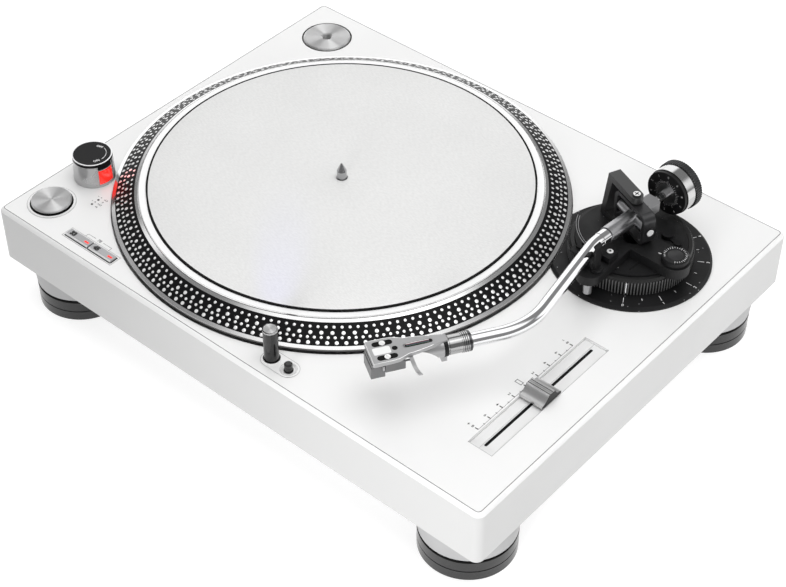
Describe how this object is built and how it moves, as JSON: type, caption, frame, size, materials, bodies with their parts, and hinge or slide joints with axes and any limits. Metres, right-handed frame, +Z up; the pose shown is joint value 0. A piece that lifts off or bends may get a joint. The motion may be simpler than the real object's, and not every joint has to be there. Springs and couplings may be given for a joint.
{
  "type": "dj turntable",
  "caption": "Direct-drive record player for DJ use, with a slipmat on a strobe-edged platter, an S-shaped tonearm on a height-adjustable base, a tempo slider and screw-in feet.",
  "frame": {"origin": "on the ground, below the middle of the plinth", "axes": "+X to the right, +Y to the back, +Z up; the controls face -Y"},
  "size_m": [0.45, 0.352, 0.1426],
  "materials": {
    "panel_white": "gloss",
    "shell_white": "gloss",
    "light_grey_plastic": "satin",
    "dark_plastic": "satin",
    "black_metal": "satin",
    "foot_metal": "polished",
    "steel": "machined",
    "platter_aluminium": "machined",
    "spun_aluminium": "spun",
    "chrome": "polished",
    "satin_grey": "satin",
    "brass": "machined",
    "winding": "lacquered wire",
    "magnet": "plain",
    "board_green": "lacquered",
    "red_lens": "clear tinted",
    "mat_felt": "fine grain",
    "headshell_grey": "satin"
  },
  "bodies": {
    "deck": {"top_panel": "panel_white", "plinth_shell": "shell_white", "base_tray": "light_grey_plastic", "motor_stator": "winding", "bearing_housing": "brass", "power_supply": "steel", "main_board": "board_green", "strobe_tower": "light_grey_plastic", "strobe_window": "red_lens", "start_bezel": "shell_white", "speed_bezel": "dark_plastic", "tempo_panel": "panel_white", "tempo_fader": "steel", "light_tray": "shell_white", "adaptor_dish": "dark_plastic", "arm_disc": "black_metal", "jack_bay": "dark_plastic", "output_jacks": "chrome", "mains_inlet": "dark_plastic"},
    "platter": {"platter": "platter_aluminium", "rotor_magnet": "magnet", "spindle": "steel"},
    "slipmat": {"slipmat": "mat_felt"},
    "ground_nut": {"ground_nut": "chrome"},
    "power_knob": {"power_knob": "dark_plastic"},
    "start_stop_button": {"start_stop_button": "spun_aluminium"},
    "button_33": {"button_33": "light_grey_plastic"},
    "button_45": {"button_45": "light_grey_plastic"},
    "light_button": {"light_button": "chrome"},
    "target_light": {"target_light": "black_metal"},
    "tempo_knob": {"tempo_knob": "light_grey_plastic"},
    "adaptor_45": {"adaptor_45": "spun_aluminium"},
    "stem_fl": {"stem_fl": "steel"},
    "foot_fl": {"foot_fl": "foot_metal"},
    "stem_fr": {"stem_fr": "steel"},
    "foot_fr": {"foot_fr": "foot_metal"},
    "stem_rl": {"stem_rl": "steel"},
    "foot_rl": {"foot_rl": "foot_metal"},
    "stem_rr": {"stem_rr": "steel"},
    "foot_rr": {"foot_rr": "foot_metal"},
    "height_ring": {"height_ring": "black_metal"},
    "arm_base": {"arm_base": "black_metal", "arm_bridge": "satin_grey"},
    "height_lock": {"height_lock": "dark_plastic"},
    "cue_lever": {"cue_lever": "light_grey_plastic"},
    "lifter": {"lifter": "black_metal"},
    "arm_rest_clip": {"arm_rest_clip": "dark_plastic"},
    "antiskate_knob": {"antiskate_knob": "dark_plastic"},
    "gimbal": {"gimbal_ring": "satin_grey"},
    "tonearm": {"pivot_tube": "satin_grey", "s_tube": "chrome"},
    "locking_collar": {"locking_collar": "chrome"},
    "headshell": {"headshell": "headshell_grey", "finger_lift": "headshell_grey", "cartridge": "dark_plastic"},
    "stylus": {"stylus": "dark_plastic"},
    "weight_sleeve": {"weight_sleeve": "brass"},
    "counterweight": {"counterweight": "chrome"},
    "weight_dial": {"weight_dial": "dark_plastic"}
  },
  "joints": [
    {"name": "platter_spin", "type": "hinge", "parent": "deck", "child": "platter", "pos_m": [-0.046, 0.0005, 0.0854], "axis": [0, 0, 1], "continuous": true},
    {"name": "mat_slip", "type": "hinge", "parent": "platter", "child": "slipmat", "pos_m": [-0.046, 0.0005, 0.0984], "axis": [0, 0, 1], "continuous": true},
    {"name": "power_turn", "type": "hinge", "parent": "deck", "child": "power_knob", "pos_m": [-0.1984, -0.1042, 0.1044], "axis": [0, 0, 1], "range_deg": [-60, 0]},
    {"name": "start_press", "type": "slide", "parent": "deck", "child": "start_stop_button", "axis": [0, 0, -1], "range_m": [0, 0.0015], "stiffness_N_per_m": 400, "springref_m": -0.002},
    {"name": "speed_33_press", "type": "slide", "parent": "deck", "child": "button_33", "axis": [0, 0, -1], "range_m": [0, 0.0008], "stiffness_N_per_m": 400, "springref_m": -0.002},
    {"name": "speed_45_press", "type": "slide", "parent": "deck", "child": "button_45", "axis": [0, 0, -1], "range_m": [0, 0.0008], "stiffness_N_per_m": 400, "springref_m": -0.002},
    {"name": "light_press", "type": "slide", "parent": "deck", "child": "light_button", "axis": [0, 0, -1], "range_m": [0, 0.0015], "stiffness_N_per_m": 400, "springref_m": -0.002},
    {"name": "lamp_lower", "type": "slide", "parent": "deck", "child": "target_light", "axis": [0, 0, -1], "range_m": [0, 0.0264]},
    {"name": "tempo_shift", "type": "slide", "parent": "deck", "child": "tempo_knob", "axis": [0, 1, 0], "range_m": [-0.044, 0.044]},
    {"name": "adaptor_lift", "type": "slide", "parent": "deck", "child": "adaptor_45", "axis": [0, 0, 1], "range_m": [0, 0.03]},
    {"name": "ground_turn", "type": "hinge", "parent": "deck", "child": "ground_nut", "pos_m": [0.092, 0.169, 0.0614], "axis": [0, 1, 0], "range_deg": [0, 360]},
    {"name": "foot_lower_fl", "type": "slide", "parent": "deck", "child": "stem_fl", "axis": [0, 0, -1], "range_m": [0, 0.006]},
    {"name": "foot_turn_fl", "type": "hinge", "parent": "stem_fl", "child": "foot_fl", "pos_m": [-0.187, -0.1373, 0.01], "axis": [0, 0, 1], "range_deg": [0, 1440]},
    {"name": "foot_lower_fr", "type": "slide", "parent": "deck", "child": "stem_fr", "axis": [0, 0, -1], "range_m": [0, 0.006]},
    {"name": "foot_turn_fr", "type": "hinge", "parent": "stem_fr", "child": "foot_fr", "pos_m": [0.187, -0.1373, 0.01], "axis": [0, 0, 1], "range_deg": [0, 1440]},
    {"name": "foot_lower_rl", "type": "slide", "parent": "deck", "child": "stem_rl", "axis": [0, 0, -1], "range_m": [0, 0.006]},
    {"name": "foot_turn_rl", "type": "hinge", "parent": "stem_rl", "child": "foot_rl", "pos_m": [-0.187, 0.1389, 0.01], "axis": [0, 0, 1], "range_deg": [0, 1440]},
    {"name": "foot_lower_rr", "type": "slide", "parent": "deck", "child": "stem_rr", "axis": [0, 0, -1], "range_m": [0, 0.006]},
    {"name": "foot_turn_rr", "type": "hinge", "parent": "stem_rr", "child": "foot_rr", "pos_m": [0.187, 0.1389, 0.01], "axis": [0, 0, 1], "range_deg": [0, 1440]},
    {"name": "height_turn", "type": "hinge", "parent": "deck", "child": "height_ring", "pos_m": [0.1543, 0.0806, 0.0944], "axis": [0, 0, 1], "range_deg": [0, 180]},
    {"name": "base_raise", "type": "slide", "parent": "deck", "child": "arm_base", "axis": [0, 0, 1], "range_m": [0, 0.006]},
    {"name": "height_lock_turn", "type": "hinge", "parent": "arm_base", "child": "height_lock", "pos_m": [0.1727, 0.0975, 0.1034], "axis": [0, 0, 1], "range_deg": [-45, 0]},
    {"name": "cue_turn", "type": "hinge", "parent": "arm_base", "child": "cue_lever", "pos_m": [0.1403, 0.0506, 0.1064], "axis": [-1, 0, 0], "range_deg": [0, 25]},
    {"name": "lifter_raise", "type": "slide", "parent": "arm_base", "child": "lifter", "axis": [0, 0, 1], "range_m": [0, 0.0044]},
    {"name": "clip_turn", "type": "hinge", "parent": "arm_base", "child": "arm_rest_clip", "pos_m": [0.1601, 0.0296, 0.1154], "axis": [0, 0, 1], "range_deg": [0, 45]},
    {"name": "antiskate_turn", "type": "hinge", "parent": "arm_base", "child": "antiskate_knob", "pos_m": [0.1947, 0.073, 0.1124], "axis": [0, 0, 1], "range_deg": [0, 270]},
    {"name": "arm_swing", "type": "hinge", "parent": "arm_base", "child": "gimbal", "pos_m": [0.1543, 0.0806, 0.1227], "axis": [0, 0, 1], "range_deg": [-44, 0]},
    {"name": "arm_tilt", "type": "hinge", "parent": "gimbal", "child": "tonearm", "pos_m": [0.1543, 0.0806, 0.1227], "axis": [-0.9205, 0.3907, 0], "range_deg": [-2.5, 3.5]},
    {"name": "collar_turn", "type": "hinge", "parent": "tonearm", "child": "locking_collar", "pos_m": [0.1463, -0.08899, 0.1227], "axis": [-0.5299, -0.848, 0], "range_deg": [0, 40]},
    {"name": "shell_pull", "type": "slide", "parent": "tonearm", "child": "headshell", "axis": [-0.5299, -0.848, 0], "range_m": [0, 0.02]},
    {"name": "stylus_pull", "type": "slide", "parent": "headshell", "child": "stylus", "axis": [-0.5299, -0.848, 0], "range_m": [0, 0.012]},
    {"name": "weight_shift", "type": "slide", "parent": "tonearm", "child": "weight_sleeve", "axis": [0.0872, 0.9962, 0], "range_m": [-0.004, 0.008]},
    {"name": "weight_turn", "type": "hinge", "parent": "weight_sleeve", "child": "counterweight", "pos_m": [0.1543, 0.0806, 0.1227], "axis": [0.0872, 0.9962, 0], "range_deg": [-720, 1440]},
    {"name": "dial_turn", "type": "hinge", "parent": "counterweight", "child": "weight_dial", "pos_m": [0.1543, 0.0806, 0.1227], "axis": [0.0872, 0.9962, 0], "range_deg": [-180, 180]}
  ],
  "couplings": [
    {"joint": "foot_turn_fl", "follows": "foot_lower_fl", "rad_per_m": 4188.8},
    {"joint": "foot_turn_fr", "follows": "foot_lower_fr", "rad_per_m": 4188.8},
    {"joint": "foot_turn_rl", "follows": "foot_lower_rl", "rad_per_m": 4188.8},
    {"joint": "foot_turn_rr", "follows": "foot_lower_rr", "rad_per_m": 4188.8},
    {"joint": "height_turn", "follows": "base_raise", "rad_per_m": 523.6},
    {"joint": "cue_turn", "follows": "lifter_raise", "rad_per_m": 99.166},
    {"joint": "weight_turn", "follows": "weight_shift", "rad_per_m": 3141.6}
  ]
}
